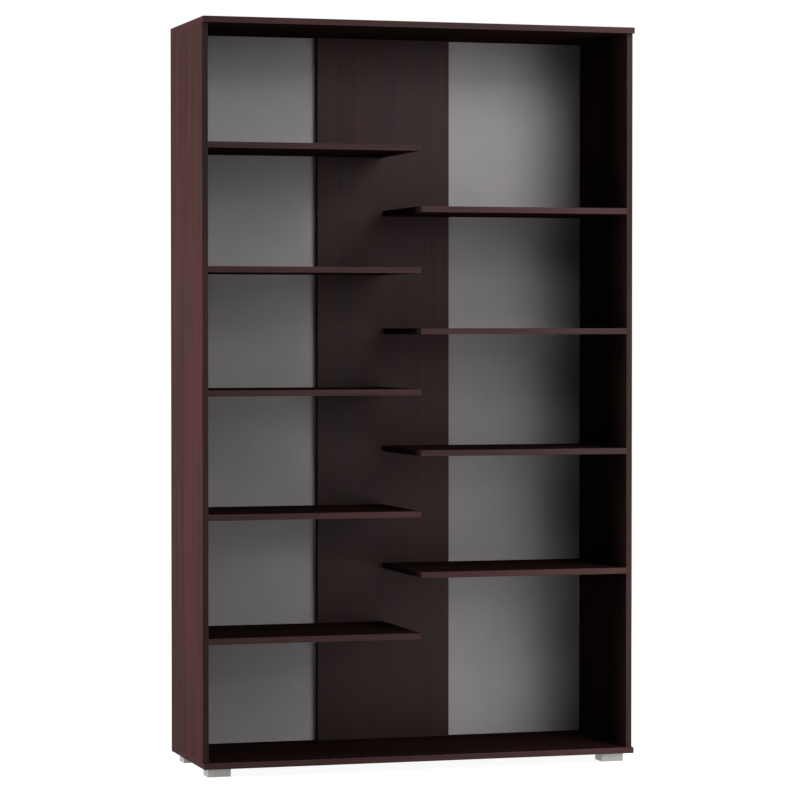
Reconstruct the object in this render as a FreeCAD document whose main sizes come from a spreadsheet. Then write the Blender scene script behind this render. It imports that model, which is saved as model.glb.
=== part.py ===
import FreeCAD, Part
import os
import re
import Sketcher

# Staircase bookshelf: an open case with a wide upright board at the middle of its back.
# Shelves step up from the left side and from the right side in turn, and their other ends are free.
# The origin is on the floor under the middle of the case. Seen from the front, +X is to the right,
# +Y runs to the rear and +Z is up. All lengths are in millimetres.

LEFT_SHELVES = 5
RIGHT_SHELVES = LEFT_SHELVES - 1
NAILS_UPRIGHT = 12
NAILS_ACROSS = 3

SIZES = {
    # Case
    "overall_width": 1200,
    "overall_height": 2000,
    "overall_depth": 400,
    "board": 16,  # thickness of every panel and shelf
    "front_overhang": 16,  # how far the top and bottom stand in front of the sides
    "centre_board_width": 380,
    # Strips glued to the visible edges of the boards
    "edging": 1,
    "edging_round_share": 0.8,  # rounding of a strip's outer corners, as a share of its thickness
    # Back sheets
    "back_sheet": 3,
    "back_inset": 2,  # from the outline of the case to the edge of a sheet
    "back_seam": 1,  # gap between the two sheets
    # Feet
    "foot_width": 64,
    "foot_length": 50,
    "foot_height": 25,
    "foot_side_inset": 17,  # from a side panel's outer face to a foot
    "foot_edge_inset": 20,  # from a side panel's front or rear edge to a foot
    "foot_corner": 3,
    "foot_chamfer": 1,
    "foot_wall": 3,
    "foot_sole": 4,
    "foot_post": 12,
    "foot_screw": 4,
    "foot_screw_head": 8,
    "foot_screw_head_height": 3,
    "foot_screw_recess": 7,
    "foot_screw_spacing": 26,
    "foot_screw_skin": 4,  # board left above a foot screw
    "foot_screw_tip": 4,
    # Fits and cuts
    "fit_gap": 0.1,  # between a fastener and the wall of its bore
    "hole_relief": 1,  # spare depth past the end of a dowel or a screw
    "overrun": 1,  # by which a cut runs out of the piece
    # Rows of fittings
    "fitting_margin": 60,  # from a shelf's front or rear edge to a cam
    "centre_margin": 60,  # from the centre board's long edge to a cam
    "dowel_offset": 32,  # from a cam to the dowel beside it
    # Dowels
    "dowel": 8,
    "dowel_length": 30,
    "dowel_bevel": 1,
    "dowel_skin": 4,  # board left under a dowel
    # Cam locks and their bolts
    "cam": 15,
    "cam_floor": 3.5,  # board left under a cam
    "cam_reach": 34,  # from the joint to the middle of the cam
    "cam_play": 0.4,  # round the bolt's head
    "driver_slot": 1.6,
    "driver_slot_length": 9,
    "bolt_thread": 6,
    "bolt_skin": 5,  # board left under a bolt
    "bolt_collar": 7.8,
    "bolt_collar_length": 3,
    "bolt_shank": 5,
    "bolt_head": 7,
    "bolt_head_length": 6,
    # Caps over the cams that show
    "cap_lip": 1,  # by which a cap is larger than the cam, all round
    "cap_height": 1.2,
    "cap_bevel": 0.6,
    "cap_peg": 4,
    "cap_peg_length": 2,
    # Screws through the centre board into the shelves
    "shelf_screw": 7,
    "shelf_screw_length": 50,
    "shelf_screw_head": 10,
    "shelf_screw_head_height": 3.5,
    "shelf_screw_tip": 6,
    "shelf_screw_margin": 50,  # from the centre board's long edge, and from the shelf's free end
    # Nails in the back sheets
    "nail": 1.6,
    "nail_head": 4,
    "nail_head_height": 0.6,
    "nail_point": 2.5,
    "nail_skin": 3,  # board left past a nail
    "nail_margin": 60,  # from the end of a row to its first nail
    "nail_seam_offset": 12,  # from the edge of a sheet at the seam
}

# Planes of the case, as formulas on the sizes
CASE_LEFT = "-overall_width / 2"
CASE_RIGHT = "overall_width / 2"
CASE_FRONT = "-overall_depth / 2"
CASE_REAR = "(overall_depth / 2 - back_sheet)"
INSIDE_LEFT = "(board - overall_width / 2)"
INSIDE_RIGHT = "(overall_width / 2 - board)"
SIDE_FRONT = "(front_overhang - overall_depth / 2)"
SHELF_REAR = "(overall_depth / 2 - back_sheet - board)"
INSIDE_LOW = "(foot_height + board)"
INSIDE_HIGH = "(overall_height - board)"
SHELF_PITCH = f"((overall_height - foot_height - board) / {LEFT_SHELVES + 1})"

# Depths of the bores in a board's face, and what enters the end of the other board
BOLT_BITE = "(board - bolt_skin)"
DOWEL_BITE = "(board - dowel_skin)"
NAIL_BITE = "(board - nail_skin)"
FOOT_SCREW_BITE = "(board - foot_screw_skin)"
CAM_DEPTH = "(board - cam_floor)"
DOWEL_REST = f"(dowel_length - {DOWEL_BITE} + hole_relief)"

# The ways a face can look, and for the sketch on that face of a block: its plane, the two axes along it,
# how far it is set off along the plane's normal, and whether a cut into the block runs along that normal
WAYS = {
    "left": (-1, 0, 0),
    "right": (1, 0, 0),
    "front": (0, -1, 0),
    "rear": (0, 1, 0),
    "down": (0, 0, -1),
    "up": (0, 0, 1),
}
FACES = {
    "left": ("YZ_Plane", (1, 2), "0", True),
    "right": ("YZ_Plane", (1, 2), "{0}", False),
    "front": ("XZ_Plane", (0, 2), "0", False),
    "rear": ("XZ_Plane", (0, 2), "-({1})", True),
    "down": ("XY_Plane", (0, 1), "0", True),
    "up": ("XY_Plane", (0, 1), "{2}", False),
}
OPPOSITE = {"left": "right", "right": "left", "front": "rear", "rear": "front", "down": "up", "up": "down"}


# The document, its sheet and the way that sizes are bound to it

document = FreeCAD.newDocument("staircase_bookshelf")
sheet = document.addObject("Spreadsheet::Sheet", "Sizes")
for row, (alias, value) in enumerate(SIZES.items(), start=1):
    sheet.set(f"A{row}", alias)
    sheet.set(f"B{row}", str(value))
    sheet.setAlias(f"B{row}", alias)
document.recompute()


def formula(text):
    """The text as an expression: each word in it is an alias of the sheet."""
    return re.sub(r"[a-z]\w*", r"Sizes.\g<0>", text)


def bind(thing, name, text):
    thing.setExpression(name, formula(text))


def value_of(text):
    return float(sheet.evalExpression(formula(text)))


def put(piece, place):
    for axis, text in zip("xyz", place):
        bind(piece, f"Placement.Base.{axis}", text)


def shifted(place, way, amount):
    """The place moved along one of the ways by an amount."""
    return tuple(f"{text} + {step} * ({amount})" if step else text for text, step in zip(place, WAYS[way]))


def spread(start, end, count):
    """Evenly spaced places on one axis, both ends included."""
    return [f"({start}) + (({end}) - ({start})) * {number} / {count - 1}" for number in range(count)]


# Sketches and the features made from them

def new_sketch(body, plane, offset="0"):
    sketch = body.newObject("Sketcher::SketchObject", f"{body.Name}_sketch")
    support = next(feature for feature in body.Origin.OriginFeatures if feature.Role == plane)
    sketch.AttachmentSupport = [(support, "")]
    sketch.MapMode = "FlatFace"
    bind(sketch, "AttachmentOffset.Base.z", offset)
    return sketch


def hold_point(sketch, curve, point, across, up):
    """Hold a point of a curve at its distances from the sketch's axes, or on an axis where one is 0."""
    for kind, axis, text in (("DistanceX", -2, across), ("DistanceY", -1, up)):
        if text == "0":
            sketch.addConstraint(Sketcher.Constraint("PointOnObject", curve, point, axis))
        else:
            index = sketch.addConstraint(Sketcher.Constraint(kind, -1, 1, curve, point, value_of(text)))
            bind(sketch, f"Constraints[{index}]", text)


def draw_outline(sketch, points):
    """A closed outline of straight lines through the points."""
    corners = [FreeCAD.Vector(value_of(across), value_of(up)) for across, up in points]
    lines = []
    for start, end in zip(corners, corners[1:] + corners[:1]):
        lines.append(sketch.addGeometry(Part.LineSegment(start, end)))
    for line, following in zip(lines, lines[1:] + lines[:1]):
        sketch.addConstraint(Sketcher.Constraint("Coincident", line, 2, following, 1))
    for line, (across, up) in zip(lines, points):
        hold_point(sketch, line, 1, across, up)


def draw_circle(sketch, across, up, diameter):
    middle = FreeCAD.Vector(value_of(across), value_of(up))
    circle = sketch.addGeometry(Part.Circle(middle, FreeCAD.Vector(0, 0, 1), value_of(diameter) / 2))
    index = sketch.addConstraint(Sketcher.Constraint("Diameter", circle, value_of(diameter)))
    bind(sketch, f"Constraints[{index}]", diameter)
    hold_point(sketch, circle, 3, across, up)


def pad(body, sketch, length):
    feature = body.newObject("PartDesign::Pad", f"{body.Name}_pad")
    feature.Profile = sketch
    bind(feature, "Length", length)
    document.recompute()


def pocket(body, sketch, depth, along_normal):
    """Cut the sketch into the body, and make sure that it took something away."""
    before = body.Shape.Volume
    feature = body.newObject("PartDesign::Pocket", f"{body.Name}_pocket")
    feature.Profile = sketch
    feature.Reversed = along_normal
    bind(feature, "Length", depth)
    document.recompute()
    if not body.Shape.Volume < before:
        raise ValueError(f"{feature.Name} cuts nothing")


def soften(body, kind, size_name, size, edges):
    """Round or bevel the given edges of the body's last feature."""
    base = body.Tip
    names = []
    for number, edge in enumerate(base.Shape.Edges, start=1):
        if any(edge.isSame(chosen) for chosen in edges):
            names.append(f"Edge{number}")
    feature = body.newObject(f"PartDesign::{kind}", f"{body.Name}_{kind.lower()}")
    feature.Base = (base, names)
    bind(feature, size_name, size)
    document.recompute()


class Block:
    """A body that starts as a block between two corners, modelled from its lower front left corner."""

    def __init__(self, label, low, high):
        self.low = low
        self.size = [f"({end}) - ({start})" for start, end in zip(low, high)]
        self.body = document.addObject("PartDesign::Body", label)
        put(self.body, low)
        width, depth, height = self.size
        outline = new_sketch(self.body, "XY_Plane")
        draw_outline(outline, [("0", "0"), (width, "0"), (width, depth), ("0", depth)])
        pad(self.body, outline, height)

    def drill(self, way, places, diameter, depth):
        """Bore the face that looks the given way, at places in the frame of the whole bookshelf."""
        plane, axes, offset, along_normal = FACES[way]
        sketch = new_sketch(self.body, plane, offset.format(*self.size))
        for place in places:
            across, up = (f"({place[axis]}) - ({self.low[axis]})" for axis in axes)
            draw_circle(sketch, across, up, diameter)
        pocket(self.body, sketch, depth, along_normal)

    def face(self, way):
        """The face that lies furthest the given way."""
        outward = FreeCAD.Vector(WAYS[way])
        return max(self.body.Tip.Shape.Faces, key=lambda face: face.CenterOfMass * outward)


def turned_piece(name, profile):
    """A body of revolution about Z, from the radii and heights of its profile."""
    body = document.addObject("PartDesign::Body", name)
    sketch = new_sketch(body, "XZ_Plane")
    draw_outline(sketch, profile)
    feature = body.newObject("PartDesign::Revolution", f"{name}_revolution")
    feature.Profile = sketch
    feature.ReferenceAxis = (sketch, ["V_Axis"])
    document.recompute()
    return body


def group(label, pieces):
    """One sub-part made of several separate solids."""
    compound = document.addObject("Part::Compound", label)
    compound.Links = pieces
    return compound


def copies(label, model, places):
    """A group of copies of a model, each with its turn and its place."""
    links = []
    for turn, place in places:
        link = document.addObject("App::Link", f"{label}_copy")
        link.LinkedObject = model
        link.Placement = FreeCAD.Placement(FreeCAD.Vector(), turn)
        put(link, place)
        links.append(link)
    return group(label, links)


def turn_to(way):
    """The turn that points a model's Z axis the given way."""
    return FreeCAD.Rotation(FreeCAD.Vector(0, 0, 1), FreeCAD.Vector(WAYS[way]))


# Where the fasteners go

class CamJoint:
    """A bolt in one board's face and a cam in another board whose end meets that face.

    The place is on the bolt's axis at the joint. The bolt runs from there the way of inward, into the
    second board, and the cam's mouth looks the way of mouth.
    """

    def __init__(self, place, inward, mouth):
        self.place = place
        self.inward = inward
        self.mouth = mouth
        self.cam_mouth = shifted(shifted(place, inward, "cam_reach"), mouth, "board / 2")

    def bolt(self):
        return turn_to(self.inward), shifted(self.place, self.inward, f"-{BOLT_BITE}")

    def cam(self):
        to_joint = FreeCAD.Vector(WAYS[OPPOSITE[self.inward]])
        outward = FreeCAD.Vector(WAYS[self.mouth])
        turn = FreeCAD.Rotation(to_joint, outward.cross(to_joint), outward, "ZXY")
        return turn, shifted(self.cam_mouth, self.mouth, f"-{CAM_DEPTH}")

    def cap(self):
        return turn_to(self.mouth), shifted(self.cam_mouth, self.mouth, "-cap_peg_length")


class DowelJoint:
    """A dowel in one board's face that runs the way of inward into the end of another board."""

    def __init__(self, place, inward):
        self.place = place
        self.inward = inward

    def dowel(self):
        return turn_to(self.inward), shifted(self.place, self.inward, f"-{DOWEL_BITE}")


def join(face_board, end_board, cams, dowels):
    """Bore both boards of a joint for their bolts, cams and dowels."""
    inward = cams[0].inward
    mouth = cams[0].mouth
    bolt_places = [cam.place for cam in cams]
    dowel_places = [dowel.place for dowel in dowels]
    face_board.drill(inward, bolt_places, "bolt_thread + 2 * fit_gap", BOLT_BITE)
    face_board.drill(inward, dowel_places, "dowel + 2 * fit_gap", DOWEL_BITE)
    end_board.drill(OPPOSITE[inward], bolt_places, "bolt_collar + 2 * fit_gap", "cam_reach")
    end_board.drill(OPPOSITE[inward], dowel_places, "dowel + 2 * fit_gap", DOWEL_REST)
    end_board.drill(mouth, [cam.cam_mouth for cam in cams], "cam + 2 * fit_gap", CAM_DEPTH)


CAM_ROWS = [f"{SIDE_FRONT} + fitting_margin", f"{SHELF_REAR} - fitting_margin"]
DOWEL_ROWS = [f"{CAM_ROWS[0]} + dowel_offset", f"{CAM_ROWS[1]} - dowel_offset"]
CENTRE_CAM_ROWS = ["centre_margin - centre_board_width / 2", "centre_board_width / 2 - centre_margin"]
CENTRE_DOWEL_ROWS = [f"{CENTRE_CAM_ROWS[0]} + dowel_offset", f"{CENTRE_CAM_ROWS[1]} - dowel_offset"]


# Boards of the case

CROSS_LEVELS = {"bottom_panel": ("foot_height", INSIDE_LOW), "top_panel": (INSIDE_HIGH, "overall_height")}


def cross_panel(label):
    """The top or the bottom: its front and both ends carry edge strips."""
    low, high = CROSS_LEVELS[label]
    return Block(label, ("edging - overall_width / 2", f"{CASE_FRONT} + edging", low),
                 ("overall_width / 2 - edging", CASE_REAR, high))


def side_panel(label, left, right):
    return Block(label, (left, f"{SIDE_FRONT} + edging", INSIDE_LOW), (right, CASE_REAR, INSIDE_HIGH))


bottom_panel = cross_panel("bottom_panel")
top_panel = cross_panel("top_panel")
left_side = side_panel("left_side", CASE_LEFT, INSIDE_LEFT)
right_side = side_panel("right_side", INSIDE_RIGHT, CASE_RIGHT)
centre_board = Block("centre_board", ("edging - centre_board_width / 2", SHELF_REAR, INSIDE_LOW),
                     ("centre_board_width / 2 - edging", CASE_REAR, INSIDE_HIGH))
sub_parts = [piece.body for piece in (bottom_panel, top_panel, left_side, right_side, centre_board)]

case_cams = []
case_dowels = []
centre_cams = []
centre_dowels = []
for cross, level, inward in ((bottom_panel, INSIDE_LOW, "up"), (top_panel, INSIDE_HIGH, "down")):
    for side, middle, mouth in ((left_side, f"{CASE_LEFT} + board / 2", "right"),
                                (right_side, f"{CASE_RIGHT} - board / 2", "left")):
        cams = [CamJoint((middle, row, level), inward, mouth) for row in CAM_ROWS]
        dowels = [DowelJoint((middle, row, level), inward) for row in DOWEL_ROWS]
        join(cross, side, cams, dowels)
        case_cams += cams
        case_dowels += dowels
    depth = f"{CASE_REAR} - board / 2"
    cams = [CamJoint((row, depth, level), inward, "rear") for row in CENTRE_CAM_ROWS]
    dowels = [DowelJoint((row, depth, level), inward) for row in CENTRE_DOWEL_ROWS]
    join(cross, centre_board, cams, dowels)
    centre_cams += cams
    centre_dowels += dowels


# Shelves, numbered from the lowest

class Shelf:
    """A shelf between its side panel and the middle plane, fixed to its side and to the centre board."""

    def __init__(self, label, side, steps):
        self.label = label
        self.on_left = side is left_side
        self.low = f"(foot_height + {steps} * {SHELF_PITCH})"
        self.high = f"({self.low} + board)"
        middle = f"{self.low} + board / 2"
        if self.on_left:
            left, right = INSIDE_LEFT, "-edging"
            joint, inward, sign = INSIDE_LEFT, "right", "-"
        else:
            left, right = "edging", INSIDE_RIGHT
            joint, inward, sign = INSIDE_RIGHT, "left", ""
        self.core = Block(label, (left, f"{SIDE_FRONT} + edging", self.low), (right, SHELF_REAR, self.high))
        self.cams = [CamJoint((joint, row, middle), inward, "down") for row in CAM_ROWS]
        self.dowels = [DowelJoint((joint, row, middle), inward) for row in DOWEL_ROWS]
        join(side, self.core, self.cams, self.dowels)
        rows = [f"{sign}(centre_board_width / 2 - shelf_screw_margin)", f"{sign}shelf_screw_margin"]
        self.screws = [(row, CASE_REAR, middle) for row in rows]
        rest = "shelf_screw_length - board + hole_relief"
        self.core.drill("rear", self.screws, "shelf_screw + 2 * fit_gap", rest)


shelves = [Shelf(f"left_shelf_{step}", left_side, step) for step in range(1, LEFT_SHELVES + 1)]
shelves += [Shelf(f"right_shelf_{step}", right_side, step + 0.5) for step in range(1, RIGHT_SHELVES + 1)]
sub_parts += [shelf.core.body for shelf in shelves]

shelf_screws = [place for shelf in shelves for place in shelf.screws]
centre_board.drill("rear", shelf_screws, "shelf_screw_head + 2 * fit_gap", "shelf_screw_head_height")
centre_board.drill("rear", shelf_screws, "shelf_screw + 2 * fit_gap", "board + overrun")


# Back sheets and the rows of nails that hold them

def back_sheet(label, left, right, nails):
    sheet_low = "foot_height + back_inset"
    sheet_high = "overall_height - back_inset"
    piece = Block(label, (left, CASE_REAR, sheet_low), (right, "overall_depth / 2", sheet_high))
    piece.drill("rear", nails, "nail_head + 2 * fit_gap", "nail_head_height")
    piece.drill("rear", nails, "nail + 2 * fit_gap", "back_sheet + overrun")
    return piece.body


def nail_rows(sign):
    """Nails of one sheet, mirrored by the sign: in its side, the centre board, the bottom and the top."""
    rear = "overall_depth / 2"
    levels = spread("foot_height + nail_margin", "overall_height - nail_margin", NAILS_UPRIGHT)
    in_side = [(f"{sign}(overall_width / 2 - board / 2)", rear, level) for level in levels]
    in_centre = [(f"{sign}(back_seam / 2 + nail_seam_offset)", rear, level) for level in levels]
    outermost = "overall_width / 2 - nail_margin"
    innermost = "centre_board_width / 2 + nail_margin"
    columns = spread(outermost, innermost, NAILS_ACROSS)
    in_bottom = [(f"{sign}({column})", rear, "foot_height + board / 2") for column in columns]
    in_top = [(f"{sign}({column})", rear, "overall_height - board / 2") for column in columns]
    return in_side, in_centre, in_bottom, in_top


left_nails = nail_rows("-")
right_nails = nail_rows("")
left_side.drill("rear", left_nails[0], "nail + 2 * fit_gap", NAIL_BITE)
right_side.drill("rear", right_nails[0], "nail + 2 * fit_gap", NAIL_BITE)
for board_piece, row in ((centre_board, 1), (bottom_panel, 2), (top_panel, 3)):
    board_piece.drill("rear", left_nails[row] + right_nails[row], "nail + 2 * fit_gap", NAIL_BITE)
left_places = [place for row in left_nails for place in row]
right_places = [place for row in right_nails for place in row]
sub_parts += [
    back_sheet("left_back_sheet", f"{CASE_LEFT} + back_inset", "-back_seam / 2", left_places),
    back_sheet("right_back_sheet", "back_seam / 2", f"{CASE_RIGHT} - back_inset", right_places),
]


# Edge strips

def edge_strip(label, low, high, way):
    """A strip whose outer face looks the given way, with that face's two long corners rounded."""
    strip = Block(label, low, high)
    outer_edges = sorted(strip.face(way).Edges, key=lambda edge: edge.Length)
    soften(strip.body, "Fillet", "Radius", "edging * edging_round_share", outer_edges[-2:])
    return strip.body


for name, (low, high) in CROSS_LEVELS.items():
    behind = f"{CASE_FRONT} + edging"
    sub_parts.append(group(f"{name}_edging", [
        edge_strip(f"{name}_front_strip", (CASE_LEFT, CASE_FRONT, low),
                   (CASE_RIGHT, behind, high), "front"),
        edge_strip(f"{name}_left_strip", (CASE_LEFT, behind, low),
                   (f"{CASE_LEFT} + edging", CASE_REAR, high), "left"),
        edge_strip(f"{name}_right_strip", (f"{CASE_RIGHT} - edging", behind, low),
                   (CASE_RIGHT, CASE_REAR, high), "right"),
    ]))

for name, left, right in (("left_side", CASE_LEFT, INSIDE_LEFT), ("right_side", INSIDE_RIGHT, CASE_RIGHT)):
    sub_parts.append(edge_strip(f"{name}_edging", (left, SIDE_FRONT, INSIDE_LOW),
                                (right, f"{SIDE_FRONT} + edging", INSIDE_HIGH), "front"))

sub_parts.append(group("centre_board_edging", [
    edge_strip("centre_board_left_strip", ("-centre_board_width / 2", SHELF_REAR, INSIDE_LOW),
               ("edging - centre_board_width / 2", CASE_REAR, INSIDE_HIGH), "left"),
    edge_strip("centre_board_right_strip", ("centre_board_width / 2 - edging", SHELF_REAR, INSIDE_LOW),
               ("centre_board_width / 2", CASE_REAR, INSIDE_HIGH), "right"),
]))

for shelf in shelves:
    behind = f"{SIDE_FRONT} + edging"
    if shelf.on_left:
        ends, free_end, way = (INSIDE_LEFT, "0"), ("-edging", "0"), "right"
    else:
        ends, free_end, way = ("0", INSIDE_RIGHT), ("0", "edging"), "left"
    sub_parts.append(group(f"{shelf.label}_edging", [
        edge_strip(f"{shelf.label}_front_strip", (ends[0], SIDE_FRONT, shelf.low),
                   (ends[1], behind, shelf.high), "front"),
        edge_strip(f"{shelf.label}_end_strip", (free_end[0], behind, shelf.low),
                   (free_end[1], SHELF_REAR, shelf.high), way),
    ]))


# Feet: hollow blocks, open towards the case, with two posts for the screws

def foot(label, middle_x, middle_y):
    """A foot, and the places on the floor under its two screws."""
    low = (f"{middle_x} - foot_width / 2", f"{middle_y} - foot_length / 2", "0")
    high = (f"{middle_x} + foot_width / 2", f"{middle_y} + foot_length / 2", "foot_height")
    piece = Block(label, low, high)
    upright = [edge for edge in piece.body.Tip.Shape.Edges if edge.BoundBox.ZLength > edge.BoundBox.XLength
               and edge.BoundBox.ZLength > edge.BoundBox.YLength]
    soften(piece.body, "Fillet", "Radius", "foot_corner", upright)
    soften(piece.body, "Chamfer", "Size", "foot_chamfer", piece.face("down").Edges)

    cavity = new_sketch(piece.body, "XY_Plane", "foot_height")
    near, far_x, far_y = "foot_wall", "foot_width - foot_wall", "foot_length - foot_wall"
    draw_outline(cavity, [(near, near), (far_x, near), (far_x, far_y), (near, far_y)])
    pocket(piece.body, cavity, "foot_height - foot_sole", False)

    posts = new_sketch(piece.body, "XY_Plane", "foot_sole")
    screws = []
    for sign in ("-", "+"):
        across = f"foot_width / 2 {sign} foot_screw_spacing / 2"
        draw_circle(posts, across, "foot_length / 2", "foot_post")
        screws.append((f"{middle_x} {sign} foot_screw_spacing / 2", middle_y, "0"))
    pad(piece.body, posts, "foot_height - foot_sole")
    recess = "foot_screw_recess + foot_screw_head_height"
    piece.drill("down", screws, "foot_screw_head + 2 * fit_gap", recess)
    piece.drill("down", screws, "foot_screw + 2 * fit_gap", "foot_height + overrun")
    sub_parts.append(piece.body)
    return screws


foot_screws = []
for depth_name, middle_y in (("front", f"({SIDE_FRONT} + foot_edge_inset + foot_length / 2)"),
                             ("rear", f"({CASE_REAR} - foot_edge_inset - foot_length / 2)")):
    for side_name, middle_x in (("left", "(foot_side_inset + foot_width / 2 - overall_width / 2)"),
                                ("right", "(overall_width / 2 - foot_side_inset - foot_width / 2)")):
        foot_screws += foot(f"foot_{depth_name}_{side_name}", middle_x, middle_y)
bottom_panel.drill("down", foot_screws, "foot_screw + 2 * fit_gap", FOOT_SCREW_BITE)


# Fasteners: one model of each, and its copies

def headed_profile(head, head_height, shank, length, tip):
    """A screw or a nail, from its flat head to its point."""
    return [("0", "0"), (f"{head} / 2", "0"), (f"{head} / 2", head_height), (f"{shank} / 2", head_height),
            (f"{shank} / 2", f"{length} - {tip}"), ("0", length)]


def cam_model():
    """A cam lock: a short drum with a channel for the bolt's head and a socket in its mouth."""
    body = document.addObject("PartDesign::Body", "cam_model")
    drum = new_sketch(body, "XY_Plane")
    draw_circle(drum, "0", "0", "cam")
    pad(body, drum, CAM_DEPTH)
    channel = new_sketch(body, "YZ_Plane", "-(bolt_head_length / 2 + cam_play)")
    draw_circle(channel, "0", f"{CAM_DEPTH} - board / 2", "bolt_head + 2 * cam_play")
    pocket(body, channel, "cam", True)
    socket = new_sketch(body, "XY_Plane", CAM_DEPTH)
    draw_circle(socket, "0", "0", "cap_peg + 2 * fit_gap")
    pocket(body, socket, "cap_peg_length", False)
    slot = new_sketch(body, "XY_Plane", CAM_DEPTH)
    near, far = "-driver_slot_length / 2", "driver_slot_length / 2"
    draw_outline(slot, [(near, "-driver_slot / 2"), (far, "-driver_slot / 2"),
                        (far, "driver_slot / 2"), (near, "driver_slot / 2")])
    pocket(body, slot, "cap_peg_length", False)
    return body


dowel_model = turned_piece("dowel_model", [
    ("0", "0"),
    ("dowel / 2 - dowel_bevel", "0"),
    ("dowel / 2", "dowel_bevel"),
    ("dowel / 2", "dowel_length - dowel_bevel"),
    ("dowel / 2 - dowel_bevel", "dowel_length"),
    ("0", "dowel_length"),
])
collar_end = f"{BOLT_BITE} + bolt_collar_length"
head_start = f"{BOLT_BITE} + cam_reach - bolt_head_length / 2"
head_end = f"{BOLT_BITE} + cam_reach + bolt_head_length / 2"
bolt_model = turned_piece("bolt_model", [
    ("0", "0"),
    ("bolt_thread / 2", "0"),
    ("bolt_thread / 2", BOLT_BITE),
    ("bolt_collar / 2", BOLT_BITE),
    ("bolt_collar / 2", collar_end),
    ("bolt_shank / 2", collar_end),
    ("bolt_shank / 2", head_start),
    ("bolt_head / 2", head_start),
    ("bolt_head / 2", head_end),
    ("0", head_end),
])
cap_radius = "(cam / 2 + cap_lip)"
cap_top = "cap_peg_length + cap_height"
cap_model = turned_piece("cap_model", [
    ("0", "0"),
    ("cap_peg / 2", "0"),
    ("cap_peg / 2", "cap_peg_length"),
    (cap_radius, "cap_peg_length"),
    (cap_radius, f"{cap_top} - cap_bevel"),
    (f"{cap_radius} - cap_bevel", cap_top),
    ("0", cap_top),
])
shelf_screw_model = turned_piece("shelf_screw_model", headed_profile(
    "shelf_screw_head", "shelf_screw_head_height", "shelf_screw", "shelf_screw_length", "shelf_screw_tip"))
foot_screw_length = f"(foot_height - foot_screw_recess + {FOOT_SCREW_BITE})"
foot_screw_model = turned_piece("foot_screw_model", headed_profile(
    "foot_screw_head", "foot_screw_head_height", "foot_screw", foot_screw_length, "foot_screw_tip"))
nail_length = f"(back_sheet + {NAIL_BITE})"
nail_model = turned_piece("nail_model", headed_profile(
    "nail_head", "nail_head_height", "nail", nail_length, "nail_point"))
cam_lock_model = cam_model()

shelf_cams = [cam for shelf in shelves for cam in shelf.cams]
shelf_dowels = [dowel for shelf in shelves for dowel in shelf.dowels]
for name, cams, dowels in (("case", case_cams, case_dowels), ("shelf", shelf_cams, shelf_dowels),
                           ("centre_board", centre_cams, centre_dowels)):
    sub_parts.append(copies(f"{name}_cam_locks", cam_lock_model, [cam.cam() for cam in cams]))
    sub_parts.append(copies(f"{name}_cam_bolts", bolt_model, [cam.bolt() for cam in cams]))
    sub_parts.append(copies(f"{name}_dowels", dowel_model, [dowel.dowel() for dowel in dowels]))
for name, cams in (("case", case_cams), ("shelf", shelf_cams)):
    sub_parts.append(copies(f"{name}_cam_caps", cap_model, [cam.cap() for cam in cams]))
sub_parts.append(copies("shelf_screws", shelf_screw_model, [
    (turn_to("front"), place) for place in shelf_screws]))
sub_parts.append(copies("foot_screws", foot_screw_model, [
    (turn_to("up"), shifted(place, "up", "foot_screw_recess")) for place in foot_screws]))
sub_parts.append(copies("back_nails", nail_model, [
    (turn_to("front"), place) for place in left_places + right_places]))
document.recompute()


# Every object has to be sound before anything is written

for thing in document.Objects:
    if "Invalid" in thing.State or "Error" in thing.State:
        raise ValueError(f"{thing.Name} is {thing.State}")
for piece in sub_parts:
    if piece.Shape.isNull() or not piece.Shape.isValid():
        raise ValueError(f"{piece.Label} has no valid shape")

os.makedirs("parts", exist_ok=True)
for piece in sub_parts:
    piece.Shape.exportStep(f"parts/{piece.Label}.step")
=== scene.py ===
import math

import bpy
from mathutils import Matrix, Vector

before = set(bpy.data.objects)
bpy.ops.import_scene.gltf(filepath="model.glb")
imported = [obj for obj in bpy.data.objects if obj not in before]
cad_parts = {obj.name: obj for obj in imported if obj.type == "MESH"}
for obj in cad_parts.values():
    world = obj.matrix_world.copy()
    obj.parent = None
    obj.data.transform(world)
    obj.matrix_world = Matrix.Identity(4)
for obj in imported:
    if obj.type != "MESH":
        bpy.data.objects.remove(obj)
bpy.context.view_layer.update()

MM = 0.001
WHITE = (1.0, 1.0, 1.0, 1.0)

# Camera: fitted to the edges of the bookcase in a picture of 800 by 800 pixels, and looking a little down
PICTURE_SIDE = 800
FOCAL_PIXELS = 3225.6
CAMERA_PLACE = (-2.4971, -8.4369, 1.1886)
CAMERA_TURN = math.radians(16.453)
CAMERA_TILT = math.radians(1.306)
CAMERA_LEVEL = math.radians(90)
CAMERA_REACH = 200.0
SENSOR_WIDTH = 36.0

# Floor and fill: the camera sees the floor as white, and a little less where the bookcase's shadow can fall
FLOOR_SIDE = 60.0
FLOOR_COLOUR = (0.3, 0.3, 0.3, 1.0)
FLOOR_GLOW = 0.94
FLOOR_GLOW_FAR = 1.0
SHADOW_REACH = (1.0, 3.5)
FILL_LIGHT = 0.02

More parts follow.
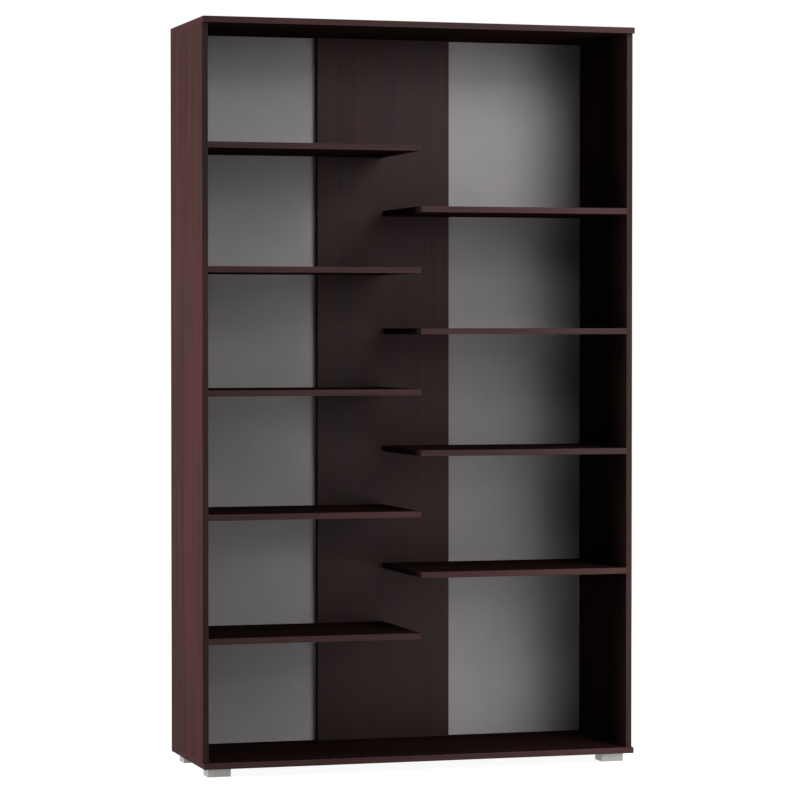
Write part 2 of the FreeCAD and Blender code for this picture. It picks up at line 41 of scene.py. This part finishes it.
# Soft boxes: place, width and height in metres, and power in watts. They all face one point.
LAMP_AIM = Vector((0.0, 0.0, 1.0))
LAMPS = (
    ("far_lamp", (2.28, -4.61, 2.12), 1.3, 0.85, 14.0),
    ("far_high_lamp", (0.87, -4.07, 3.05), 1.95, 0.95, 10.6),
    ("front_lamp", (1.27, -2.66, 2.51), 1.45, 0.8, 8.8),
    ("near_high_lamp", (0.87, -1.29, 2.48), 0.62, 0.52, 9.3),
    ("near_middle_lamp", (1.38, -1.70, 1.60), 1.1, 1.3, 5.9),
    ("near_low_lamp", (1.09, -1.44, 0.53), 1.0, 0.9, 5.2),
    ("corner_lamp", (0.9, -0.8, 0.25), 0.4, 0.4, 1.7),
    ("left_lamp", (-3.5, 0.0, 1.35), 1.0, 2.0, 117.0),
    ("right_lamp", (3.6, 0.6, 1.6), 1.0, 2.0, 75.0),
    ("rear_lamp", (1.5, 4.0, 2.2), 2.4, 2.0, 70.0),
    ("top_lamp", (0.0, 1.4, 4.4), 1.6, 1.0, 40.0),
)

# Steps from 0 to 1: for a face that looks along an axis, and for the rounding between flat faces
FACE_STEP = (0.6, 0.8)
ROUNDING_STEP = (0.02, 0.2)
# Noise varies around this value
NOISE_MIDDLE = 0.5

# Wenge print: three tones that lie beside each other in soft bands.
# Each print has its depth of colour and a grey haze, both painted: the haze is a painted sheen. A board's
# outer face has a depth of 1. Depths below 1 are painted shade, on faces inside the case and on the upright
# strips, and the depth above 1 is painted light, on the level strips.
BROWN_WENGE = (0.059, 0.0345, 0.0305)
RED_WENGE = (0.076, 0.0315, 0.0300)
PLUM_WENGE = (0.073, 0.0330, 0.0360)
# Painted shade: the faces inside the case, and the inner faces of the sides
INNER_PAINTED_SHADE = (0.36, 0.0)
SIDE_INNER_PAINTED_SHADE = (0.52, 0.0)
# Painted light on the level strips, painted shade on the upright strips, each with a painted sheen
LEVEL_STRIP_PAINTED_LIGHT_AND_SHEEN = (1.14, 0.015)
UPRIGHT_STRIP_PAINTED_SHADE_AND_SHEEN = (0.75, 0.016)
# Patterns of the print: width, how many times longer than wide, detail and distortion
BANDS = (52 * MM, 16, 1.0, 0.3)
TINTS = (44 * MM, 20, 1.0, 0.2)
STREAKS = (15 * MM, 26, 3.0, 0.0)
LINES = (2.6 * MM, 110, 2.0, 0.0)
PORES = (0.9 * MM, 30, 1.0, 0.0)
BAND_STEP = (0.36, 0.64)
TINT_STEP = (0.46, 0.68)
PORE_STEP = (0.60, 0.72)
PLUM_SHARE = 0.8
BAND_CONTRAST = 0.35
STREAK_CONTRAST = 0.6
LINE_CONTRAST = 0.6
PORE_SHADE = 0.32
WENGE_ROUGHNESS = 0.55
STREAK_ROUGHNESS = 0.22
PORE_ROUGHNESS = 0.12
LINE_RELIEF = 0.5

# Boards. Top coats: strength of the gloss, by how much it is smoother than the print, and its tint
NO_GLOSS = 0.0
MATT_COAT = (NO_GLOSS, 0.0, WHITE)
CENTRE_COAT = (0.16, 0.13, (1.0, 0.81, 0.84, 1.0))
BOARD_RELIEF = 0.06 * MM
UPRIGHT_BOARDS = ("left_side", "right_side", "centre_board")
# Distances from the middle of the case between which a side board's outer face begins
SIDE_STEP = (588 * MM, 596 * MM)
# Chips of the core on the rear edges
CHIP_PALE = (0.46, 0.33, 0.20, 1.0)
CHIP_DARK = (0.22, 0.13, 0.065, 1.0)
CHIP_SIZE = 2.2 * MM
CHIP_ROUGHNESS = 0.35
CHIP_RELIEF = 2.0

# Edge strips, whose rounded corners are lighter and smoother in patches: partly rubbed wear, partly a painted
# highlight
# Share by which strips that face left or right are darkened: painted shade
STRIP_END_PAINTED_SHADE = 0.3
STRIP_RELIEF = 0.05 * MM
WEAR_AND_HIGHLIGHT_PATCH = 30 * MM
WEAR_AND_HIGHLIGHT_GAIN = 0.5
RUBBED_POLISH = 0.12

# Back sheets: grey lacquer in front
GREY_LACQUER = (0.512, 0.487, 0.496, 1.0)
CLOUD_SIZE = 70 * MM
CLOUD_CONTRAST = 0.16
LACQUER_GRAIN = 1.1 * MM
LACQUER_GRAIN_CONTRAST = 0.14
LACQUER_GRAIN_RELIEF = 0.25
SPECK_SIZE = 3.0 * MM
SPECK_STEP = (0.62, 0.72)
SPECK_SHADE = 0.05
LACQUER_ROUGHNESS = 0.5
CLOUD_ROUGHNESS = 0.2
# Back sheets: bare hardboard behind, with the print of its screen
HARDBOARD_BROWN = (0.21, 0.115, 0.058, 1.0)
HARDBOARD_DARK = (0.12, 0.062, 0.032, 1.0)
FIBRE_WIDTH = 2.0 * MM
FIBRE_STRETCH = 3
FIBRE_SHARE = 0.6
FIBRE_RELIEF = 0.6
BLOTCH_SIZE = 45 * MM
BLOTCH_SHARE = 0.4
HARDBOARD_STEP = (0.35, 0.65)
HARDBOARD_ROUGHNESS = 0.86
SCREEN_PITCH = 2.6 * MM
SCREEN_SHARE = 0.5
SCREEN_DISTORTION = 0.6
SCREEN_DARK = 0.86
SCREEN_CONTRAST = 0.28
SHEET_RELIEF = 0.18 * MM
SHEET_GLOSS = 0.2
# Distance between the waves of a Wave Texture whose scale is 1
WAVE_PITCH = 2 * math.pi / 20

# Moulded plastic of the feet and caps. The caps' colours are darkened to the painted shade of the boards
# inside the case.
SILVER_PLASTIC = (0.37, 0.363, 0.355, 1.0)
SILVER_DULL = (0.30, 0.294, 0.287, 1.0)
SHADED_CAP_BROWN = (0.026, 0.0125, 0.0118, 1.0)
SHADED_CAP_DARK = (0.019, 0.0092, 0.0085, 1.0)
MOULD_CLOUD = 18 * MM
MOULD_CLOUD_SHARE = 0.7
MOULD_GRAIN_SHARE = 0.3
MOULD_STEP = (0.34, 0.62)
MOULD_CLOUD_ROUGHNESS = 0.2
MOULD_CORNER_POLISH = 0.08

# Zinc plate of the fittings
ZINC_BRIGHT = (0.74, 0.75, 0.77, 1.0)
ZINC_DULL = (0.52, 0.53, 0.55, 1.0)
ZINC_BLOTCH = 5 * MM
ZINC_STEP = (0.38, 0.62)
RUBBING_WIDTH = 0.5 * MM
RUBBING_STRETCH = 12
ZINC_ROUGHNESS = 0.36
ZINC_BLOTCH_ROUGHNESS = 0.3
RUBBING_ROUGHNESS = 0.2
ZINC_RELIEF = 0.03 * MM

# Beech of the dowels
BEECH_PALE = (0.60, 0.43, 0.27, 1.0)
BEECH_DARK = (0.45, 0.29, 0.16, 1.0)
BEECH_FIBRE_WIDTH = 0.8 * MM
BEECH_FIBRE_STRETCH = 8
BEECH_STEP = (0.35, 0.65)
FLECK_WIDTH = 1.4 * MM
FLECK_STRETCH = 4
FLECK_STEP = (0.60, 0.70)
FLECK_SHADE = 0.6
BEECH_ROUGHNESS = 0.62
FLECK_ROUGHNESS = 0.1
BEECH_RELIEF = 0.08 * MM
BEECH_GLOSS = 0.3


class Wire:
    """An output of a node. Sums written on wires become Math nodes of the same finish."""

    def __init__(self, finish, socket):
        self.finish = finish
        self.socket = socket

    def other(self, name):
        """Another output of the same node."""
        return Wire(self.finish, self.socket.node.outputs[name])

    def sum(self, operation, first, second):
        return self.finish.add("ShaderNodeMath", {"operation": operation}, {0: first, 1: second})

    def __add__(self, other):
        return self.sum("ADD", self, other)

    def __sub__(self, other):
        return self.sum("SUBTRACT", self, other)

    def __rsub__(self, other):
        return self.sum("SUBTRACT", other, self)

    def __mul__(self, other):
        return self.sum("MULTIPLY", self, other)

    __radd__ = __add__
    __rmul__ = __mul__


class Finish:
    """A node tree that is written from its textures to its shader.

    The sockets of a Mix node are given by their numbers, because their names repeat for each type of data.
    """

    def __init__(self, tree):
        self.tree = tree
        self.tree.nodes.clear()

    def add(self, kind, settings=None, sockets=None, output=0):
        node = self.tree.nodes.new(kind)
        for name, value in (settings or {}).items():
            setattr(node, name, value)
        for name, value in (sockets or {}).items():
            if isinstance(value, Wire):
                self.tree.links.new(value.socket, node.inputs[name])
            else:
                node.inputs[name].default_value = value
        return Wire(self, node.outputs[output]) if len(node.outputs) else None

    def mix(self, share, first, second):
        """One colour going over into another."""
        return self.add("ShaderNodeMix", {"data_type": "RGBA"}, {0: share, 6: first, 7: second}, 2)

    def shade(self, colour, level):
        """A colour made lighter or darker by a level around 1."""
        settings = {"data_type": "RGBA", "blend_type": "MULTIPLY"}
        return self.add("ShaderNodeMix", settings, {0: 1.0, 6: colour, 7: level}, 2)

    def between(self, value, low, high):
        """0 below low, 1 above high, and a smooth step from one to the other."""
        settings = {"interpolation_type": "SMOOTHSTEP"}
        return self.add("ShaderNodeMapRange", settings, {"Value": value, "From Min": low, "From Max": high})

    def place(self):
        return self.add("ShaderNodeTexCoord", output="Object")

    def drawn_out(self, axis, stretch):
        """The place squeezed along one axis, so that a pattern is drawn out along it."""
        scale = [1.0, 1.0, 1.0]
        scale["XYZ".index(axis)] = 1 / stretch
        return self.add("ShaderNodeMapping", {}, {"Vector": self.place(), "Scale": scale})

    def noise(self, vector, size, detail, distortion=0.0):
        """Noise whose patches are about as wide as size, in metres."""
        sockets = {"Vector": vector, "Scale": 1 / size, "Detail": detail, "Distortion": distortion}
        return self.add("ShaderNodeTexNoise", {}, sockets)

    def facing(self, axis):
        """The part of the surface's direction along an axis, from -1 to 1."""
        normal = self.add("ShaderNodeNewGeometry", output="Normal")
        return self.add("ShaderNodeSeparateXYZ", {}, {0: normal}, axis)

    def size_of(self, value):
        return self.add("ShaderNodeMath", {"operation": "ABSOLUTE"}, {0: value})

    def larger(self, first, second):
        return self.add("ShaderNodeMath", {"operation": "MAXIMUM"}, {0: first, 1: second})

    def rounded_corner(self):
        """1 on the rounding between two flat faces, 0 on the faces."""
        flattest = self.size_of(self.facing("X"))
        for axis in "YZ":
            flattest = self.larger(flattest, self.size_of(self.facing(axis)))
        return self.between(1 - flattest, *ROUNDING_STEP)

    def seen_directly(self):
        """1 for what the camera, a mirror or glass sees, 0 for the light that falls on surfaces."""
        camera = self.add("ShaderNodeLightPath", output="Is Camera Ray")
        mirrored = self.larger(camera.other("Is Glossy Ray"), camera.other("Is Transmission Ray"))
        return self.larger(camera, mirrored)

    def surface(self, colour, roughness, height, depth, **constants):
        """The shader: colour, roughness and a relief of the given depth in metres."""
        bump = self.add("ShaderNodeBump", {}, {"Height": height, "Distance": depth})
        sockets = {"Base Color": colour, "Roughness": roughness, "Normal": bump}
        for name, value in constants.items():
            sockets[name.replace("_", " ")] = value
        shader = self.add("ShaderNodeBsdfPrincipled", {}, sockets)
        self.add("ShaderNodeOutputMaterial", {}, {"Surface": shader})


def new_finish(name):
    material = bpy.data.materials.new(name)
    material.use_nodes = True
    return material, Finish(material.node_tree)


def wenge_print(finish, grain, painted_light_and_sheen):
    """Colour, roughness and relief of the wenge print.

    grain(stretch) gives the place drawn out along the grain.
    """
    depth, painted_sheen = painted_light_and_sheen
    # Each tone is scaled by its painted light and shade and raised by the grey painted sheen
    brown, red, plum = [
        (*(part * depth + painted_sheen for part in tone), 1.0) for tone in (BROWN_WENGE, RED_WENGE, PLUM_WENGE)
    ]

    def pattern(width, stretch, detail, distortion):
        return finish.noise(grain(stretch), width, detail, distortion)

    bands = pattern(*BANDS)
    tints = pattern(*TINTS)
    streaks = pattern(*STREAKS)
    lines = pattern(*LINES)
    pores = finish.between(pattern(*PORES), *PORE_STEP)
    colour = finish.mix(finish.between(bands, *BAND_STEP), brown, red)
    colour = finish.mix(finish.between(tints, *TINT_STEP) * PLUM_SHARE, colour, plum)
    level = 1 + (bands - NOISE_MIDDLE) * BAND_CONTRAST
    level = level + (streaks - NOISE_MIDDLE) * STREAK_CONTRAST
    level = level + (lines - NOISE_MIDDLE) * LINE_CONTRAST
    colour = finish.shade(colour, level * (1 - pores * PORE_SHADE))
    roughness = WENGE_ROUGHNESS + (streaks - NOISE_MIDDLE) * STREAK_ROUGHNESS + pores * PORE_ROUGHNESS
    relief = lines * LINE_RELIEF - pores
    return colour, roughness, relief


def upper_face(finish):
    """1 on the upper face of a board."""
    return finish.between(finish.facing("Z"), *FACE_STEP)


def outer_side_face(finish):
    """1 on the outer face of a side board, 0 on the face inside the case."""
    across = finish.add("ShaderNodeSeparateXYZ", {}, {0: finish.place()}, "X")
    return finish.between(finish.size_of(across), *SIDE_STEP)


def wenge_board(name, axis, painted_light_and_sheen, coat=MATT_COAT, face_without_painted_shade=None, raw_rear_edge=True):
    """Laminated board with its grain along an axis.

    Where the given face mask is 1, the board looks out of the case and its print keeps its full tone; on the
    faces inside the case the print stays darker, as painted shade. A rear edge without a strip shows the
    chips of the core.
    """
    material, finish = new_finish(name)

    def grain(stretch):
        return finish.drawn_out(axis, stretch)

    colour, roughness, relief = wenge_print(finish, grain, painted_light_and_sheen)
    # Painted shade: the print stays darker on faces inside the case, and the outer faces are lifted back to
    # full tone
    if face_without_painted_shade:
        painted_shade_lift = 1 / painted_light_and_sheen[0] - 1
        colour = finish.shade(colour, 1 + face_without_painted_shade(finish) * painted_shade_lift)
    if raw_rear_edge:
        sockets = {"Vector": finish.place(), "Scale": 1 / CHIP_SIZE}
        chips = finish.add("ShaderNodeTexVoronoi", {}, sockets, "Color")
        chip = finish.add("ShaderNodeSeparateColor", {}, {0: chips})
        raw = finish.between(finish.facing("Y"), *FACE_STEP)
        colour = finish.mix(raw, colour, finish.mix(chip, CHIP_DARK, CHIP_PALE))
        roughness = roughness + raw * CHIP_ROUGHNESS
        relief = relief + raw * chip * CHIP_RELIEF
    gloss, polish, tint = coat
    finish.surface(
        colour, roughness - polish, relief, BOARD_RELIEF, Specular_IOR_Level=gloss, Specular_Tint=tint
    )
    return material


def wenge_strip(name, axis, end_axis, painted_light_and_sheen):
    """Edge strip with its grain along its own length.

    axis is the grain's on the strips in front, end_axis the grain's on those at the left and right ends.
    """
    material, finish = new_finish(name)
    end = finish.between(finish.size_of(finish.facing("X")), *FACE_STEP)

    def grain(stretch):
        vectors = {0: end, 4: finish.drawn_out(axis, stretch), 5: finish.drawn_out(end_axis, stretch)}
        return finish.add("ShaderNodeMix", {"data_type": "VECTOR"}, vectors, 1)

    colour, roughness, relief = wenge_print(finish, grain, painted_light_and_sheen)
    # Lighter patches along the rounded corners: partly rubbed wear, partly a painted highlight
    rubbed = finish.rounded_corner() * finish.noise(finish.place(), WEAR_AND_HIGHLIGHT_PATCH, detail=3.0)
    # Strips that face left or right are darkened by painted shade
    colour = finish.shade(colour, (1 + rubbed * WEAR_AND_HIGHLIGHT_GAIN) * (1 - end * STRIP_END_PAINTED_SHADE))
    roughness = roughness - rubbed * RUBBED_POLISH
    finish.surface(colour, roughness, relief, STRIP_RELIEF, Specular_IOR_Level=NO_GLOSS)
    return material


def back_board(name):
    """Grey lacquer towards the room, and bare hardboard with the print of its screen elsewhere."""
    material, finish = new_finish(name)
    clouds = finish.noise(finish.place(), CLOUD_SIZE, detail=3.0)
    grain = finish.noise(finish.place(), LACQUER_GRAIN, detail=2.0)
    specks = finish.between(finish.noise(finish.place(), SPECK_SIZE, detail=2.0), *SPECK_STEP)
    level = 1 + (clouds - NOISE_MIDDLE) * CLOUD_CONTRAST + (grain - NOISE_MIDDLE) * LACQUER_GRAIN_CONTRAST
    lacquer = finish.shade(GREY_LACQUER, level - specks * SPECK_SHADE)
    fibres = finish.noise(finish.drawn_out("X", FIBRE_STRETCH), FIBRE_WIDTH, detail=4.0)
    blotches = finish.noise(finish.place(), BLOTCH_SIZE, detail=3.0)
    brown = finish.between(fibres * FIBRE_SHARE + blotches * BLOTCH_SHARE, *HARDBOARD_STEP)
    bare = finish.mix(brown, HARDBOARD_DARK, HARDBOARD_BROWN)
    screen = 0.0
    for axis in "XZ":
        settings = {"wave_type": "BANDS", "bands_direction": axis}
        sockets = {
            "Vector": finish.place(),
            "Scale": WAVE_PITCH / SCREEN_PITCH,
            "Distortion": SCREEN_DISTORTION,
            "Detail": 1.0,
        }
        screen = finish.add("ShaderNodeTexWave", settings, sockets, "Fac") * SCREEN_SHARE + screen
    bare = finish.shade(bare, SCREEN_DARK + screen * SCREEN_CONTRAST)
    front = finish.between(0 - finish.facing("Y"), *FACE_STEP)
    colour = finish.mix(front, bare, lacquer)
    polish = HARDBOARD_ROUGHNESS - LACQUER_ROUGHNESS - (clouds - NOISE_MIDDLE) * CLOUD_ROUGHNESS
    roughness = HARDBOARD_ROUGHNESS - front * polish
    relief = front * grain * LACQUER_GRAIN_RELIEF + (1 - front) * (screen + fibres * FIBRE_RELIEF)
    finish.surface(colour, roughness, relief, SHEET_RELIEF, Specular_IOR_Level=SHEET_GLOSS)
    return material


def moulded_plastic(name, colours, roughness, grain_size, depth, **constants):
    """Plastic with the fine grain of its mould and faint cloudy differences in sheen."""
    material, finish = new_finish(name)
    grain = finish.noise(finish.place(), grain_size, detail=2.0)
    clouds = finish.noise(finish.place(), MOULD_CLOUD, detail=3.0)
    share = finish.between(clouds * MOULD_CLOUD_SHARE + grain * MOULD_GRAIN_SHARE, *MOULD_STEP)
    colour = finish.mix(share, *colours)
    roughness = roughness + (clouds - NOISE_MIDDLE) * MOULD_CLOUD_ROUGHNESS
    roughness = roughness - finish.rounded_corner() * MOULD_CORNER_POLISH
    finish.surface(colour, roughness, grain, depth, **constants)
    return material


def zinc_plating(name):
    """Zinc plate with soft blotches, fine rubbed lines and a dulled sheen."""
    material, finish = new_finish(name)
    blotches = finish.noise(finish.place(), ZINC_BLOTCH, detail=3.0)
    rubbing = finish.noise(finish.drawn_out("X", RUBBING_STRETCH), RUBBING_WIDTH, detail=2.0)
    colour = finish.mix(finish.between(blotches, *ZINC_STEP), ZINC_DULL, ZINC_BRIGHT)
    roughness = ZINC_ROUGHNESS + (blotches - NOISE_MIDDLE) * ZINC_BLOTCH_ROUGHNESS
    roughness = roughness + (rubbing - NOISE_MIDDLE) * RUBBING_ROUGHNESS
    finish.surface(colour, roughness, rubbing, ZINC_RELIEF, Metallic=1.0)
    return material


def beech_wood(name):
    """Pale turned wood with short fibres and darker flecks."""
    material, finish = new_finish(name)
    fibres = finish.noise(finish.drawn_out("X", BEECH_FIBRE_STRETCH), BEECH_FIBRE_WIDTH, detail=3.0)
    flecks = finish.noise(finish.drawn_out("X", FLECK_STRETCH), FLECK_WIDTH, detail=1.0)
    flecks = finish.between(flecks, *FLECK_STEP)
    pale = finish.between(fibres, *BEECH_STEP) * (1 - flecks * FLECK_SHADE)
    colour = finish.mix(pale, BEECH_DARK, BEECH_PALE)
    roughness = BEECH_ROUGHNESS + flecks * FLECK_ROUGHNESS
    finish.surface(colour, roughness, fibres, BEECH_RELIEF, Specular_IOR_Level=BEECH_GLOSS)
    return material


def dress_nodes():
    """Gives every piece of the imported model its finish."""
    # The wenge boards and strips are copies of one laminate and one edging that differ by painted light and
    # shade
    side_board = wenge_board("wenge_upright", "Z", SIDE_INNER_PAINTED_SHADE, face_without_painted_shade=outer_side_face)
    level_board = wenge_board("wenge_level", "X", INNER_PAINTED_SHADE)
    boards = {
        "left_side": side_board,
        "right_side": side_board,
        "top_panel": wenge_board("wenge_top", "X", INNER_PAINTED_SHADE, face_without_painted_shade=upper_face),
        "centre_board": wenge_board("wenge_centre", "Z", INNER_PAINTED_SHADE, CENTRE_COAT, raw_rear_edge=False),
    }
    upright_strip = wenge_strip("wenge_strip_upright", "Z", "Z", UPRIGHT_STRIP_PAINTED_SHADE_AND_SHEEN)
    level_strip = wenge_strip("wenge_strip_level", "X", "Y", LEVEL_STRIP_PAINTED_LIGHT_AND_SHEEN)
    plain = {
        "grey_hardboard": back_board("grey_hardboard_sheet"),
        "silver_plastic": moulded_plastic(
            "silver_foot",
            (SILVER_DULL, SILVER_PLASTIC),
            roughness=0.48,
            grain_size=0.7 * MM,
            depth=0.08 * MM,
            Metallic=0.8,
        ),
        "brown_plastic": moulded_plastic(
            "brown_cap",
            (SHADED_CAP_DARK, SHADED_CAP_BROWN),
            roughness=0.5,
            grain_size=0.5 * MM,
            depth=0.05 * MM,
            Specular_IOR_Level=0.02,
        ),
        "zinc_steel": zinc_plating("zinc_fitting"),
        "beech": beech_wood("beech_dowel"),
    }
    for name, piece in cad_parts.items():
        slot = piece.material_slots[0]
        packed_slot = slot.material.name
        if packed_slot == "wenge_edging":
            slot.material = upright_strip if name.startswith(UPRIGHT_BOARDS) else level_strip
        elif packed_slot == "wenge_laminate":
            slot.material = boards.get(name, level_board)
        else:
            slot.material = plain[packed_slot]


def lay_floor():
    """A pale floor that the camera sees as white, with the bookcase's shadow on it where that falls."""
    bpy.ops.object.select_all(action="DESELECT")
    bpy.ops.mesh.primitive_plane_add(size=FLOOR_SIDE, location=(0.0, 0.0, 0.0))
    floor = bpy.context.active_object
    floor.name = "studio_floor"
    material, finish = new_finish("pale_floor")
    matt = finish.add("ShaderNodeBsdfDiffuse", {}, {"Color": FLOOR_COLOUR})
    distance = finish.add("ShaderNodeVectorMath", {"operation": "LENGTH"}, {0: finish.place()}, "Value")
    level = FLOOR_GLOW + finish.between(distance, *SHADOW_REACH) * (FLOOR_GLOW_FAR - FLOOR_GLOW)
    glow = finish.add("ShaderNodeEmission", {}, {"Color": WHITE, "Strength": finish.seen_directly() * level})
    both = finish.add("ShaderNodeAddShader", {}, {0: matt, 1: glow})
    finish.add("ShaderNodeOutputMaterial", {}, {"Surface": both})
    floor.data.materials.append(material)


def light_world():
    """White for the camera, and an even fill for surfaces."""
    world = bpy.data.worlds.new("studio")
    world.use_nodes = True
    bpy.context.scene.world = world
    finish = Finish(world.node_tree)
    seen = finish.seen_directly()
    strength = seen + (1 - seen) * FILL_LIGHT
    background = finish.add("ShaderNodeBackground", {}, {"Color": WHITE, "Strength": strength})
    finish.add("ShaderNodeOutputWorld", {}, {"Surface": background})


def hang_lamp(name, place, width, height, power):
    """A soft box that faces the middle of the bookcase."""
    light = bpy.data.lights.new(name, "AREA")
    light.shape = "RECTANGLE"
    light.size = width
    light.size_y = height
    light.energy = power
    lamp = bpy.data.objects.new(name, light)
    lamp.location = place
    lamp.rotation_mode = "QUATERNION"
    lamp.rotation_quaternion = (LAMP_AIM - Vector(place)).to_track_quat("-Z", "Y")
    bpy.context.scene.collection.objects.link(lamp)


def set_camera():
    camera_data = bpy.data.cameras.new("camera")
    camera_data.sensor_width = SENSOR_WIDTH
    camera_data.lens = FOCAL_PIXELS / PICTURE_SIDE * SENSOR_WIDTH
    camera_data.clip_end = CAMERA_REACH
    camera = bpy.data.objects.new("camera", camera_data)
    camera.location = CAMERA_PLACE
    camera.rotation_euler = (CAMERA_LEVEL - CAMERA_TILT, 0.0, -CAMERA_TURN)
    bpy.context.scene.collection.objects.link(camera)
    bpy.context.scene.camera = camera


set_camera()
lay_floor()
light_world()
for lamp in LAMPS:
    hang_lamp(*lamp)
dress_nodes()
bpy.context.scene.view_settings.view_transform = "Standard"
